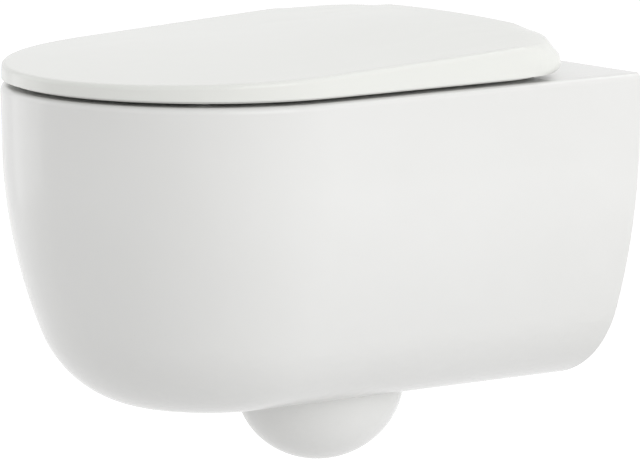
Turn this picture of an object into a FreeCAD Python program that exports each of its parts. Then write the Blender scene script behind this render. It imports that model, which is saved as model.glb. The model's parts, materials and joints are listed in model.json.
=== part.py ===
import FreeCAD, Part
import math
import os
import re
import Sketcher
from FreeCAD import Vector

# Wall hung toilet: a glazed double-wall pan with its bowl, trap and flush duct, a seat and a
# wrap-over lid that turn on one hinge axis, and the fixings that hold them.
# Frame: origin midway between the two wall fixings, on the wall plane. +Y points into the
# wall, the nose of the pan points to -Y, +Z is up.

os.makedirs("parts", exist_ok=True)
doc = FreeCAD.newDocument("wall_hung_toilet")

SIZES = {
    # pan, outside
    "pan_width": 370,
    "nose_centre": 348,
    "deck_height": 75,
    "shell_height_rear": 285,
    "shell_height_nose": 289.5,
    "straight_wall": 55,
    "wall_draft": 1.6,
    "side_radius": 485,
    "base_radius": 108,
    "deck_edge_radius": 6,
    # pan, walls of the casting
    "shell_wall": 12,
    "deck_wall": 16,
    "rear_wall": 16,
    "bowl_wall": 11,
    # bowl
    "bowl_centre": 288,
    "bowl_half_width": 118,
    "bowl_half_length": 158,
    "bowl_rim_depth": 45,
    "bowl_depth": 240,
    "bowl_lip_radius": 5,
    # trap and outlet
    "trap_bore": 31,
    "trap_wall": 7.5,
    "trap_bend": 40,
    "trap_centre": 221,
    "trap_entry": 22,
    "bulb_half_width": 65,
    "bulb_half_length": 82,
    "bulb_half_height": 72,
    "bulb_below_bend": 16,
    "outlet_drop": 100,
    "outlet_radius": 51,
    "outlet_bore": 45,
    "outlet_socket": 40,
    "outlet_length": 70,
    "rear_opening_width": 256,
    "rear_opening_top": 28,
    "rear_opening_height": 146,
    "rear_opening_corner": 50,
    # flush inlet
    "inlet_rise": 35,
    "inlet_radius": 27.5,
    "inlet_socket": 45,
    "inlet_wall": 9,
    "flush_bore": 20,
    "horn_overlap": 2,
    "flush_reach": 8,
    # wall fixings
    "fixing_spacing": 180,
    "fixing_boss": 22,
    "fixing_boss_length": 60,
    "fixing_block_radius": 12.8,
    "fixing_block_length": 50,
    "block_end_play": 3,
    "fixing_fit": 0.2,
    "fixing_hole": 6.5,
    "clamp_screw_radius": 4,
    "clamp_screw_length": 22,
    "clamp_head_radius": 6.5,
    "clamp_head_height": 6,
    "clamp_screw_fit": 0.5,
    "clamp_screw_setback": 27,
    "clamp_screw_start": 7.5,
    # hinge
    "hinge_spacing": 155,
    "hinge_setback": 52,
    "hinge_rise": 24.5,
    "hinge_pin_radius": 4,
    "hinge_pin_overlap": 2,
    "running_fit": 0.05,
    "post_width": 18,
    "post_barrel": 10,
    "post_neck": 15,
    "rosette_radius": 18,
    "rosette_height": 3,
    "gasket_height": 1,
    "gasket_inset": 1,
    "stud_radius": 3,
    "stud_reach": 42,
    "stud_grip": 7,
    "plug_radius": 7.8,
    "plug_fit": 0.2,
    "plug_length": 30,
    "nut_radius": 6.5,
    "nut_height": 9,
    "nut_taper": 1.5,
    "knuckle_radius": 10.5,
    "knuckle_gap": 0.5,
    "lid_knuckle_length": 25,
    "seat_knuckle_length": 36,
    "arm_overlap": 8,
    "arm_clearance": 2,
    "lid_arm_rise": 0.5,
    "damper_radius": 7.5,
    "bushing_radius": 6,
    # lid
    "lid_rear": 67,
    "lid_inset": 1,
    "lid_corner": 72,
    "lid_gap": 5.5,
    "lid_top_front": 16.5,
    "lid_top_rear": 36,
    "lid_crown_front": 1.5,
    "lid_crown_rear": 7.5,
    "lid_wall": 5,
    "lid_top_wall": 3.8,
    "lid_edge_radius": 5,
    "trim_margin": 10,
    "notch_play": 1.5,
    # seat
    "seat_inset": 2,
    "seat_gap": 3.2,
    "seat_thickness": 9,
    "seat_rear_play": 6.5,
    "seat_half_width": 104,
    "seat_half_length": 138,
    "seat_edge_radius": 4,
    # bumpers
    "bumper_radius": 8,
    "bumper_rest_gap": 0.2,
    "front_bumper_setback": 445,
    "front_bumper_spread": 118,
    "rear_bumper_setback": 150,
    "rear_bumper_spread": 145,
}

# how far a cutting shape passes beyond the face it opens
PAST = 1

sheet = doc.addObject("Spreadsheet::Sheet", "sizes")
for row, (alias, value) in enumerate(SIZES.items(), start=1):
    sheet.set(f"A{row}", alias)
    sheet.set(f"B{row}", str(value))
    sheet.setAlias(f"B{row}", alias)
doc.recompute()


# ---- sizes as numbers and as links --------------------------------------------------------

def number(formula):
    """Value that a formula in the named sizes has now."""
    return float(sheet.evalExpression(formula))


def link(formula):
    """The same formula as other objects of the document read it."""
    return re.sub(r"[a-z][a-z_]+", lambda word: "sizes." + word.group()
                  if word.group() in SIZES else word.group(), formula)


def bind(target, **formulas):
    """Bind properties of an object to formulas in the named sizes."""
    for name, formula in formulas.items():
        target.setExpression(name.replace("__", "."), link(formula))


# ---- PartDesign helpers -------------------------------------------------------------------

RIGHT = Vector(1, 0, 0)


def origin_point():
    """The sketch origin, as constraints name it."""
    return -1, 1


def hold_on_middle(sketch, geometry, point):
    """Keep a point on the sketch's upright axis."""
    relate(sketch, "PointOnObject", geometry, point, -2)


def hold_on_level(sketch, geometry, point):
    """Keep a point on the sketch's level axis."""
    relate(sketch, "PointOnObject", geometry, point, -1)


def new_body(name):
    body = doc.addObject("PartDesign::Body", name)
    body.Label = name
    return body


def origin_plane(body, role):
    return next(feature for feature in body.Origin.OriginFeatures if feature.Role == role)


def new_sketch(body, name, role, offset="0"):
    """Sketch parallel to an origin plane. XZ sketches are offset towards -Y."""
    sketch = body.newObject("Sketcher::SketchObject", name)
    sketch.AttachmentSupport = (origin_plane(body, role), "")
    sketch.MapMode = "FlatFace"
    bind(sketch, AttachmentOffset__Base__z=offset)
    return sketch


def measure(sketch, kind, *where, formula):
    """Dimension of a sketch, driven by a formula in the named sizes."""
    index = sketch.addConstraint(Sketcher.Constraint(kind, *where, number(formula)))
    sketch.setExpression(f"Constraints[{index}]", link(formula))


def relate(sketch, kind, *where):
    sketch.addConstraint(Sketcher.Constraint(kind, *where))


def line(sketch, start, end):
    return sketch.addGeometry(Part.LineSegment(Vector(*start, 0), Vector(*end, 0)), False)


def arc(sketch, centre, radius, first, last):
    circle = Part.Circle(Vector(*centre, 0), Vector(0, 0, 1), radius)
    return sketch.addGeometry(Part.ArcOfCircle(circle, math.radians(first), math.radians(last)), False)


def add_circle(sketch, across, along, radius):
    """Circle at (across, along) of its sketch, each given by a formula."""
    centre = Vector(number(across), number(along), 0)
    ring = sketch.addGeometry(Part.Circle(centre, Vector(0, 0, 1), number(radius)), False)
    measure(sketch, "Radius", ring, formula=radius)
    place_point(sketch, ring, 3, across, along)
    return ring


def place_point(sketch, geometry, point, across, along):
    """Hold a point of a sketch at (across, along)."""
    if number(across) == 0:
        hold_on_middle(sketch, geometry, point)
    else:
        measure(sketch, "DistanceX", *origin_point(), geometry, point, formula=across)
    if number(along) == 0:
        hold_on_level(sketch, geometry, point)
    else:
        measure(sketch, "DistanceY", *origin_point(), geometry, point, formula=along)


def feature(body, kind, name, profile, **formulas):
    made = body.newObject("PartDesign::" + kind, name)
    made.Profile = profile
    bind(made, **formulas)
    return made


def pad(body, name, profile, length, **settings):
    made = feature(body, "Pad", name, profile, Length=length)
    for key, value in settings.items():
        setattr(made, key, value)
    return made


def pocket(body, name, profile, length, **settings):
    made = feature(body, "Pocket", name, profile, Length=length)
    for key, value in settings.items():
        setattr(made, key, value)
    return made


def primitive(body, kind, name, place, turn=None, **formulas):
    """Additive or subtractive primitive, its base placed by three formulas."""
    made = body.newObject("PartDesign::" + kind, name)
    bind(made, **formulas)
    made.AttachmentSupport = (origin_plane(body, "XY_Plane"), "")
    made.MapMode = "ObjectXY"
    if turn:
        made.AttachmentOffset = FreeCAD.Placement(Vector(), FreeCAD.Rotation(*turn))
    for axis, formula in zip("xyz", place):
        made.setExpression("AttachmentOffset.Base." + axis, link(formula))
    return made


ALONG_Y = (RIGHT, -90)    # turns a cylinder's axis to +Y
ALONG_X = (Vector(0, 1, 0), 90)    # and to +X


def edges_where(shape, wanted):
    return ["Edge%d" % (i + 1) for i, edge in enumerate(shape.Edges) if wanted(edge)]


def round_edges(body, name, base, wanted, radius):
    """Fillet of the edges that pass a test."""
    doc.recompute()
    made = body.newObject("PartDesign::Fillet", name)
    made.Base = (base, edges_where(base.Shape, wanted))
    bind(made, Radius=radius)
    return made


def flat_at(edge, height):
    """True for an edge that lies level at a height."""
    box = edge.BoundBox
    return abs(box.ZMin - height) < 1e-4 and abs(box.ZMax - height) < 1e-4


# ---- pan ----------------------------------------------------------------------------------

def shell_height(setback):
    """Height of the casting at a setback: the underside falls a little towards the nose."""
    return f"(shell_height_rear+(shell_height_nose-shell_height_rear)*({setback})/nose_centre)"


def half_profile(body, name, offset, inset, top):
    """Right half of the pan's upright section, moved inward by inset and cut off at top.

    The side falls almost straight, swings under in one long arc and turns into the flat
    underside in a short one.
    """
    sketch = new_sketch(body, name, "XZ_Plane", offset)
    draft = math.radians(number("wall_draft"))
    deck, wall = number("deck_height"), number("straight_wall")
    long_radius, short_radius = number(f"side_radius-{inset}"), number(f"base_radius-{inset}")
    height = shell_height(offset)
    base = number(f"deck_height-{height}+{inset}")
    top_z = number(top)
    drop = deck - wall - base
    sine = (drop + long_radius * math.sin(draft) - short_radius) / (long_radius - short_radius)
    swing = math.asin(sine)
    foot_x = number(f"pan_width/2-{inset}") - wall * math.tan(draft)
    foot_z = deck - wall
    edge_x = foot_x + (top_z - foot_z) * math.tan(draft)
    long_x = foot_x - long_radius * math.cos(draft)
    long_z = foot_z + long_radius * math.sin(draft)
    join_x = long_x + long_radius * math.cos(swing)
    join_z = long_z - long_radius * math.sin(swing)
    short_x = join_x - short_radius * math.cos(swing)
    short_z = join_z + short_radius * math.sin(swing)
    turn = math.degrees(swing)
    rim = line(sketch, (0, top_z), (edge_x, top_z))
    side = line(sketch, (edge_x, top_z), (foot_x, foot_z))
    sweep = arc(sketch, (long_x, long_z), long_radius, -turn, -number("wall_draft"))
    heel = arc(sketch, (short_x, short_z), short_radius, -90, -turn)
    under = line(sketch, (short_x, base), (0, base))
    middle = line(sketch, (0, base), (0, top_z))
    relate(sketch, "Coincident", rim, 2, side, 1)
    relate(sketch, "Tangent", side, 2, sweep, 2)
    relate(sketch, "Tangent", sweep, 1, heel, 2)
    relate(sketch, "Tangent", heel, 1, under, 1)
    relate(sketch, "Coincident", under, 2, middle, 1)
    relate(sketch, "Coincident", middle, 2, rim, 1)
    relate(sketch, "Horizontal", rim)
    relate(sketch, "Horizontal", under)
    hold_on_middle(sketch, middle, 1)
    hold_on_middle(sketch, middle, 2)
    measure(sketch, "DistanceY", *origin_point(), middle, 2, formula=top)
    measure(sketch, "DistanceY", middle, 1, *origin_point(), formula=f"{height}-deck_height-{inset}")
    measure(sketch, "DistanceX", *origin_point(), side, 2,
            formula=f"pan_width/2-{inset}-straight_wall*tan(wall_draft*1deg)")
    measure(sketch, "DistanceX", side, 2, side, 1,
            formula=f"({top}-deck_height+straight_wall)*tan(wall_draft*1deg)")
    measure(sketch, "Radius", sweep, formula=f"side_radius-{inset}")
    measure(sketch, "Radius", heel, formula=f"base_radius-{inset}")
    return sketch


def ruled_loft(body, kind, name, first, last):
    """Straight walls between two sections."""
    loft = body.newObject("PartDesign::" + kind, name)
    loft.Profile = first
    loft.Sections = [last]
    loft.Ruled = True
    return loft


def turn_profile(body, kind, name, profile):
    """Quarter turn of a half profile about the nose's upright axis."""
    turned = body.newObject("PartDesign::" + kind, name)
    turned.Profile = profile
    turned.ReferenceAxis = (profile, ["V_Axis"])
    turned.Angle = 90
    turned.Reversed = True
    return turned


def mirror_right_half(body, name, originals):
    made = body.newObject("PartDesign::Mirrored", name)
    made.Originals = originals
    made.MirrorPlane = (origin_plane(body, "YZ_Plane"), [""])
    body.Tip = made
    return made


def ellipse_section(body, name, height, half_width, half_length, centre):
    """Level oval of the bowl, longer from front to rear than it is wide."""
    sketch = new_sketch(body, name, "XY_Plane", height)
    middle = Vector(0, -number(centre), 0)
    long_end = middle + Vector(0, number(half_length), 0)
    short_end = middle + Vector(number(half_width), 0, 0)
    oval = sketch.addGeometry(Part.Ellipse(long_end, short_end, middle), False)
    sketch.exposeInternalGeometry(oval)
    major, minor = oval + 1, oval + 2
    hold_on_middle(sketch, oval, 3)
    relate(sketch, "Vertical", major)
    measure(sketch, "DistanceY", oval, 3, *origin_point(), formula=centre)
    measure(sketch, "Distance", major, 1, major, 2, formula=f"2*({half_length})")
    measure(sketch, "Distance", minor, 1, minor, 2, formula=f"2*({half_width})")
    return sketch


# height below the deck, half width, half length and centre of each oval, as shares of the
# way from the rim of the bowl down to the mouth of the trap
BOWL_LEVELS = [(0.28, 0.92, 0.93, 0.08), (0.55, 0.66, 0.66, 0.30), (0.80, 0.27, 0.26, 0.72)]


def bowl_loft(body, name, kind, wall, top):
    """Funnel from the rim down to the trap, grown outward by a wall."""
    rim = "deck_height-bowl_rim_depth"
    mouth = "(trap_centre+trap_bend)"
    ovals = [ellipse_section(body, name + "_rim", top, f"bowl_half_width+{wall}",
                             f"bowl_half_length+{wall}", "bowl_centre"),
             ellipse_section(body, name + "_lip", rim, f"bowl_half_width+{wall}",
                             f"bowl_half_length+{wall}", "bowl_centre")]
    for i, (down, wide, far, back) in enumerate(BOWL_LEVELS):
        ovals.append(ellipse_section(
            body, f"{name}_oval{i}", f"{rim}-{down}*(bowl_depth-bowl_rim_depth)",
            f"trap_bore+{wide}*(bowl_half_width-trap_bore)+{wall}",
            f"trap_bore+{far}*(bowl_half_length-trap_bore)+{wall}",
            f"bowl_centre+{back}*({mouth}-bowl_centre)"))
    foot = new_sketch(body, name + "_mouth", "XY_Plane", "deck_height-bowl_depth")
    add_circle(foot, "0", f"-{mouth}", f"trap_bore+{wall}")
    loft = body.newObject("PartDesign::" + kind, name)
    loft.Profile = ovals[0]
    loft.Sections = ovals[1:] + [foot]
    return loft


BEND_LEVEL = "(deck_height-bowl_depth-trap_entry)"


def trap_route(body, name):
    """Centre line of the waste way: down from the bowl, round the bend, over the weir, out."""
    sketch = new_sketch(body, name, "YZ_Plane")
    bend, middle = number("trap_bend"), -number("trap_centre")
    low = number(BEND_LEVEL)
    start = number(f"deck_height-bowl_depth+{PAST}")
    outlet = -number("outlet_drop")
    down = line(sketch, (middle - bend, start), (middle - bend, low))
    under = arc(sketch, (middle, low), bend, 180, 360)
    rise = line(sketch, (middle + bend, low), (middle + bend, outlet - bend))
    over = arc(sketch, (middle + 2 * bend, outlet - bend), bend, 90, 180)
    out = line(sketch, (middle + 2 * bend, outlet), (0, outlet))
    relate(sketch, "Tangent", down, 2, under, 1)
    relate(sketch, "Tangent", under, 2, rise, 1)
    relate(sketch, "Tangent", rise, 2, over, 2)
    relate(sketch, "Tangent", over, 1, out, 1)
    relate(sketch, "Vertical", down)
    relate(sketch, "Horizontal", out)
    hold_on_middle(sketch, out, 2)
    measure(sketch, "Radius", under, formula="trap_bend")
    measure(sketch, "Radius", over, formula="trap_bend")
    measure(sketch, "DistanceX", under, 3, *origin_point(), formula="trap_centre")
    measure(sketch, "DistanceY", under, 3, *origin_point(), formula=f"-{BEND_LEVEL}")
    measure(sketch, "DistanceY", out, 2, *origin_point(), formula="outlet_drop")
    measure(sketch, "DistanceY", down, 1, *origin_point(), formula=f"bowl_depth-{PAST}-deck_height")
    return sketch


def trap_pipe(body, name, kind, radius):
    mouth = new_sketch(body, name + "_mouth", "XY_Plane", f"deck_height-bowl_depth+{PAST}")
    add_circle(mouth, "0", "-trap_centre-trap_bend", radius)
    route = trap_route(body, name + "_route")
    pipe = body.newObject("PartDesign::" + kind, name)
    pipe.Profile = mouth
    pipe.Spine = (route, [f"Edge{i}" for i in range(1, 6)])
    return pipe


def make_shell(body):
    """Outer skin of the casting: a straight rear and a round nose under one section."""
    sides = half_profile(body, "shell_section", "0", "0", "deck_height")
    front = half_profile(body, "nose_section", "nose_centre", "0", "deck_height")
    straight = ruled_loft(body, "AdditiveLoft", "shell_sides", sides, front)
    nose = turn_profile(body, "Revolution", "shell_nose", front)
    shell = mirror_right_half(body, "shell_whole", [straight, nose])
    deck = number("deck_height")
    round_edges(body, "deck_edge", shell,
                lambda edge: flat_at(edge, deck) and edge.BoundBox.YMin < -PAST, "deck_edge_radius")


def make_hollow(body):
    """Space between the outer skin and the bowl, closed by the rear wall."""
    top = "deck_height-deck_wall"
    inside = half_profile(body, "hollow_section", "rear_wall", "shell_wall", top)
    front = half_profile(body, "hollow_nose_section", "nose_centre", "shell_wall", top)
    straight = ruled_loft(body, "SubtractiveLoft", "hollow_sides", inside, front)
    nose = turn_profile(body, "Groove", "hollow_nose", front)
    mirror_right_half(body, "hollow_whole", [straight, nose])


def rear_opening(body):
    """Window in the rear wall round the outlet, with rounded corners."""
    sketch = new_sketch(body, "rear_opening_section", "XZ_Plane")
    half, corner = number("rear_opening_width/2"), number("rear_opening_corner")
    top = -number("rear_opening_top")
    base = top - number("rear_opening_height")
    right, left = half - corner, corner - half
    sides = [line(sketch, (left, top), (right, top)),
             line(sketch, (half, top - corner), (half, base + corner)),
             line(sketch, (right, base), (left, base)),
             line(sketch, (-half, base + corner), (-half, top - corner))]
    corners = [arc(sketch, (right, top - corner), corner, 0, 90),
               arc(sketch, (right, base + corner), corner, 270, 360),
               arc(sketch, (left, base + corner), corner, 180, 270),
               arc(sketch, (left, top - corner), corner, 90, 180)]
    for i, bend in enumerate(corners):
        relate(sketch, "Tangent", sides[i], 2, bend, 2)
        relate(sketch, "Tangent", bend, 1, sides[(i + 1) % 4], 1)
        if i:
            relate(sketch, "Equal", corners[0], bend)
    relate(sketch, "Vertical", sides[1])
    relate(sketch, "Horizontal", sides[2])
    relate(sketch, "Vertical", sides[3])
    relate(sketch, "Symmetric", sides[0], 1, sides[0], 2, -2)
    measure(sketch, "Radius", corners[0], formula="rear_opening_corner")
    measure(sketch, "DistanceY", sides[0], 1, *origin_point(), formula="rear_opening_top")
    measure(sketch, "DistanceY", sides[2], 1, sides[0], 1, formula="rear_opening_height")
    measure(sketch, "DistanceX", *origin_point(), sides[1], 1, formula="rear_opening_width/2")
    pocket(body, "rear_opening", sketch, f"rear_wall+{PAST}", Reversed=True)


def round_bar(body, kind, name, across, height, radius, start, length):
    """Cylinder along +Y from -start-length to -start, or the hole of that shape."""
    primitive(body, kind, name, (across, f"-({start})-({length})", height), ALONG_Y,
              Radius=radius, Height=length)


def make_waterways(body):
    """Bowl, trap, outlet spigot and flush horn: first their walls, then their bores."""
    bowl_loft(body, "bowl_skin", "AdditiveLoft", "bowl_wall", "deck_height-deck_wall/2")
    trap_pipe(body, "trap_skin", "AdditivePipe", "trap_bore+trap_wall")
    primitive(body, "AdditiveEllipsoid", "trap_bulb",
              ("0", "-trap_centre", f"{BEND_LEVEL}-bulb_below_bend"),
              Radius1="bulb_half_height", Radius2="bulb_half_width", Radius3="bulb_half_length",
              Angle1="-90", Angle2="90", Angle3="360")
    round_bar(body, "AdditiveCylinder", "outlet_spigot", "0", "-outlet_drop", "outlet_radius",
              "0", "outlet_length")
    round_bar(body, "AdditiveCylinder", "flush_horn", "0", "inlet_rise", "inlet_radius+inlet_wall",
              "0", "bowl_centre-bowl_half_length-horn_overlap")
    for side in (-1, 1):
        round_bar(body, "AdditiveCylinder", "fixing_boss", f"{side}*fixing_spacing/2", "0",
                  "fixing_boss", "0", "fixing_boss_length")
    bowl_loft(body, "bowl", "SubtractiveLoft", "0", f"deck_height+{PAST}")
    trap_pipe(body, "trap", "SubtractivePipe", "trap_bore")
    round_bar(body, "SubtractiveCylinder", "outlet_mouth", "0", "-outlet_drop", "outlet_bore",
              f"-{PAST}", f"outlet_socket+{PAST}")
    round_bar(body, "SubtractiveCylinder", "inlet_socket", "0", "inlet_rise", "inlet_radius",
              f"-{PAST}", f"inlet_socket+{PAST}")
    round_bar(body, "SubtractiveCylinder", "flush_way", "0", "inlet_rise", "flush_bore",
              f"-{PAST}", "bowl_centre-bowl_half_length+flush_reach")


def round_bowl_lip(body):
    """Soft glazed edge where the deck turns down into the bowl."""
    deck, reach = number("deck_height"), number(f"bowl_half_width+{PAST}")
    round_edges(body, "bowl_lip", body.Tip,
                lambda edge: flat_at(edge, deck) and edge.BoundBox.XLength > PAST
                and max(edge.BoundBox.XMax, -edge.BoundBox.XMin) < reach, "bowl_lip_radius")


def make_fixing_holes(body):
    """Bores for the wall fixing blocks, their clamp screws and the seat's expansion plugs."""
    for side in (-1, 1):
        across = f"{side}*fixing_spacing/2"
        round_bar(body, "SubtractiveCylinder", "block_bore", across, "0",
                  "fixing_block_radius+fixing_fit", f"-{PAST}", "fixing_block_length+block_end_play")
        primitive(body, "SubtractiveCylinder", "screw_bore",
                  (across, "-clamp_screw_setback", f"-fixing_boss-{PAST}"),
                  Radius="clamp_screw_radius+clamp_screw_fit", Height=f"fixing_boss+{PAST}")
        primitive(body, "SubtractiveCylinder", "plug_bore",
                  (f"{side}*hinge_spacing/2", "-hinge_setback", f"deck_height-deck_wall-{PAST}"),
                  Radius="plug_radius+plug_fit", Height=f"deck_wall+2*{PAST}")


def make_pan():
    body = new_body("pan")
    make_shell(body)
    make_hollow(body)
    rear_opening(body)
    make_waterways(body)
    round_bowl_lip(body)
    make_fixing_holes(body)
    doc.recompute()
    return body


# ---- lid and seat -------------------------------------------------------------------------

def plan_outline(body, name, height, inset, rear, corner):
    """Level outline of the lid or seat: straight rear, rounded corners, round nose."""
    sketch = new_sketch(body, name, "XY_Plane", height)
    half = number(f"pan_width/2-({inset})")
    back, bend, nose_y = -number(rear), number(corner), -number("nose_centre")
    edge = line(sketch, (bend - half, back), (half - bend, back))
    right_bend = arc(sketch, (half - bend, back - bend), bend, 0, 90)
    right = line(sketch, (half, back - bend), (half, nose_y))
    nose = arc(sketch, (0, nose_y), half, 180, 360)
    left = line(sketch, (-half, nose_y), (-half, back - bend))
    left_bend = arc(sketch, (bend - half, back - bend), bend, 90, 180)
    relate(sketch, "Tangent", edge, 2, right_bend, 2)
    relate(sketch, "Tangent", right_bend, 1, right, 1)
    relate(sketch, "Tangent", right, 2, nose, 2)
    relate(sketch, "Tangent", nose, 1, left, 1)
    relate(sketch, "Tangent", left, 2, left_bend, 2)
    relate(sketch, "Tangent", left_bend, 1, edge, 1)
    relate(sketch, "Symmetric", edge, 1, edge, 2, -2)
    relate(sketch, "Vertical", right)
    relate(sketch, "Equal", right_bend, left_bend)
    hold_on_middle(sketch, nose, 3)
    measure(sketch, "Radius", nose, formula=f"pan_width/2-({inset})")
    measure(sketch, "Radius", right_bend, formula=corner)
    measure(sketch, "DistanceY", nose, 3, *origin_point(), formula="nose_centre")
    measure(sketch, "DistanceY", edge, 1, *origin_point(), formula=rear)
    return sketch


LID_FRONT = "(nose_centre+pan_width/2-lid_inset)"
LID_HALF = "(pan_width/2-lid_inset)"
LID_LENGTH = f"({LID_FRONT}-lid_rear)"
TOP_REACH = "(pan_width/2+trim_margin)"


def top_arch(body, name, setback, edge, crown, below):
    """Upright section above the lid's top at a setback: a shallow arch from side to side."""
    sketch = new_sketch(body, name, "XZ_Plane", setback)
    over = "(deck_height+lid_top_rear+lid_crown_rear+trim_margin)"
    middle = number(f"deck_height+{edge}+{crown}-({below})")
    radius_formula = f"({LID_HALF}^2+({crown})^2)/(2*({crown}))"
    radius, reach = number(radius_formula), number(TOP_REACH)
    end = middle - radius + math.sqrt(radius ** 2 - reach ** 2)
    half_turn = math.degrees(math.asin(reach / radius))
    arch = arc(sketch, (0, middle - radius), radius, 90 - half_turn, 90 + half_turn)
    left = line(sketch, (-reach, end), (-reach, number(over)))
    lintel = line(sketch, (-reach, number(over)), (reach, number(over)))
    right = line(sketch, (reach, number(over)), (reach, end))
    relate(sketch, "Coincident", arch, 2, left, 1)
    relate(sketch, "Coincident", left, 2, lintel, 1)
    relate(sketch, "Coincident", lintel, 2, right, 1)
    relate(sketch, "Coincident", right, 2, arch, 1)
    relate(sketch, "Horizontal", lintel)
    relate(sketch, "Vertical", left)
    relate(sketch, "Vertical", right)
    hold_on_middle(sketch, arch, 3)
    measure(sketch, "Radius", arch, formula=radius_formula)
    measure(sketch, "DistanceY", *origin_point(), arch, 3,
            formula=f"deck_height+{edge}+{crown}-({below})-{radius_formula}")
    measure(sketch, "DistanceX", *origin_point(), lintel, 2, formula=TOP_REACH)
    measure(sketch, "DistanceY", *origin_point(), lintel, 2, formula=over)
    return sketch


def along_lid(front, rear, setback):
    """Value at a setback on the straight run between a front and a rear value."""
    return f"({rear}+({front}-{rear})*(({setback})-lid_rear)/{LID_LENGTH})"


def crown_cut(body, name, below):
    """Removes what stands above the lid's crowned top, or above a face some way below it."""
    sections = []
    for tag, setback in (("rear", "(lid_rear-trim_margin)"), ("front", f"({LID_FRONT}+trim_margin)")):
        edge = along_lid("lid_top_front", "lid_top_rear", setback)
        crown = along_lid("lid_crown_front", "lid_crown_rear", setback)
        sections.append(top_arch(body, f"{name}_{tag}", setback, edge, crown, below))
    return ruled_loft(body, "SubtractiveLoft", name, *sections)


def make_lid_block(name, inset, rear, corner, start, below):
    body = new_body(name)
    outline = plan_outline(body, name + "_outline", start, inset, rear, corner)
    pad(body, name + "_block", outline, f"deck_height+lid_top_rear+lid_crown_rear+trim_margin/2-({start})")
    crown_cut(body, name + "_top", below)
    return body


HINGE_LEVEL = "deck_height+hinge_rise"


def hinge_knuckle(name, first, last, radius):
    """Round bar along X on the hinge axis, from first to last."""
    bar = doc.addObject("Part::Cylinder", name)
    bar.Placement.Rotation = FreeCAD.Rotation(*ALONG_X)
    bind(bar, Radius=radius, Height=f"{last}-({first})", Placement__Base__x=first,
         Placement__Base__y="-hinge_setback", Placement__Base__z=HINGE_LEVEL)
    return bar


def block(name, x, y, z):
    """Box between pairs of formulas along X, Y and Z."""
    box = doc.addObject("Part::Box", name)
    for side, axis, (low, high) in zip(("Length", "Width", "Height"), "xyz", (x, y, z)):
        box.setExpression(side, link(f"{high}-({low})"))
        box.setExpression("Placement.Base." + axis, link(low))
    return box


def fuse(name, *pieces):
    made = doc.addObject("Part::MultiFuse", name)
    made.Shapes = pieces
    return made


def cut(name, base, *tools):
    tool = tools[0] if len(tools) == 1 else fuse(name + "_tools", *tools)
    made = doc.addObject("Part::Cut", name)
    made.Base, made.Tool = base, tool
    return made


INNER = "(hinge_spacing/2-post_width/2-knuckle_gap)"
OUTER = "(hinge_spacing/2+post_width/2+knuckle_gap)"
LID_REACH = ("(" + INNER + "-lid_knuckle_length)", INNER)
SEAT_REACH = (OUTER, "(" + OUTER + "+seat_knuckle_length)")


SIDES = ((1, "right"), (-1, "left"))


def side_range(side, reach):
    """The same stretch of the hinge axis on the right (1) or left (-1)."""
    near, far = reach
    return (near, far) if side > 0 else (f"-{far}", f"-{near}")


def hinge_bore(name, stretch, radius):
    """Bar that opens a stretch of the hinge axis right through."""
    return hinge_knuckle(name, f"{stretch[0]}-{PAST}", f"{stretch[1]}+{PAST}", radius)


def make_lid():
    outside = make_lid_block("lid_outside", "lid_inset", "lid_rear", "lid_corner",
                             "deck_height+lid_gap", "0")
    doc.recompute()
    slope = outside.Tip
    lowest_top = number("deck_height+lid_top_front") - PAST
    round_edges(outside, "lid_edge", slope, lambda edge: edge.BoundBox.ZMin > lowest_top,
                "lid_edge_radius")
    hollow = make_lid_block("lid_hollow", "lid_inset+lid_wall", "lid_rear+lid_wall", "lid_corner-lid_wall",
                            "deck_height+lid_gap-trim_margin/2", "lid_top_wall")
    doc.recompute()
    shell = cut("lid_shell", outside, hollow)
    arm_depth = ("-lid_rear-lid_wall-arm_overlap", "-hinge_setback")
    arm_height = (f"{HINGE_LEVEL}+lid_arm_rise", f"{HINGE_LEVEL}+knuckle_radius")
    notch_depth = (arm_depth[0], f"-lid_rear+{PAST}")
    notch_height = ("deck_height", f"{HINGE_LEVEL}+notch_play")
    knuckles, bores, notches = [], [], []
    for side, word in SIDES:
        stretch, passage = side_range(side, LID_REACH), side_range(side, SEAT_REACH)
        held = "bushing_radius" if side > 0 else "damper_radius"
        knuckles += [hinge_knuckle(f"lid_knuckle_{word}", *stretch, "knuckle_radius"),
                     block(f"lid_arm_{word}", stretch, arm_depth, arm_height)]
        bores.append(hinge_bore(f"lid_bore_{word}", stretch, held))
        opened = (f"{passage[0]}-notch_play", f"{passage[1]}+notch_play")
        notches.append(block(f"lid_notch_{word}", opened, notch_depth, notch_height))
    whole = fuse("lid_whole", shell, *knuckles)
    return cut("lid", whole, *bores, *notches), hollow


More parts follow.
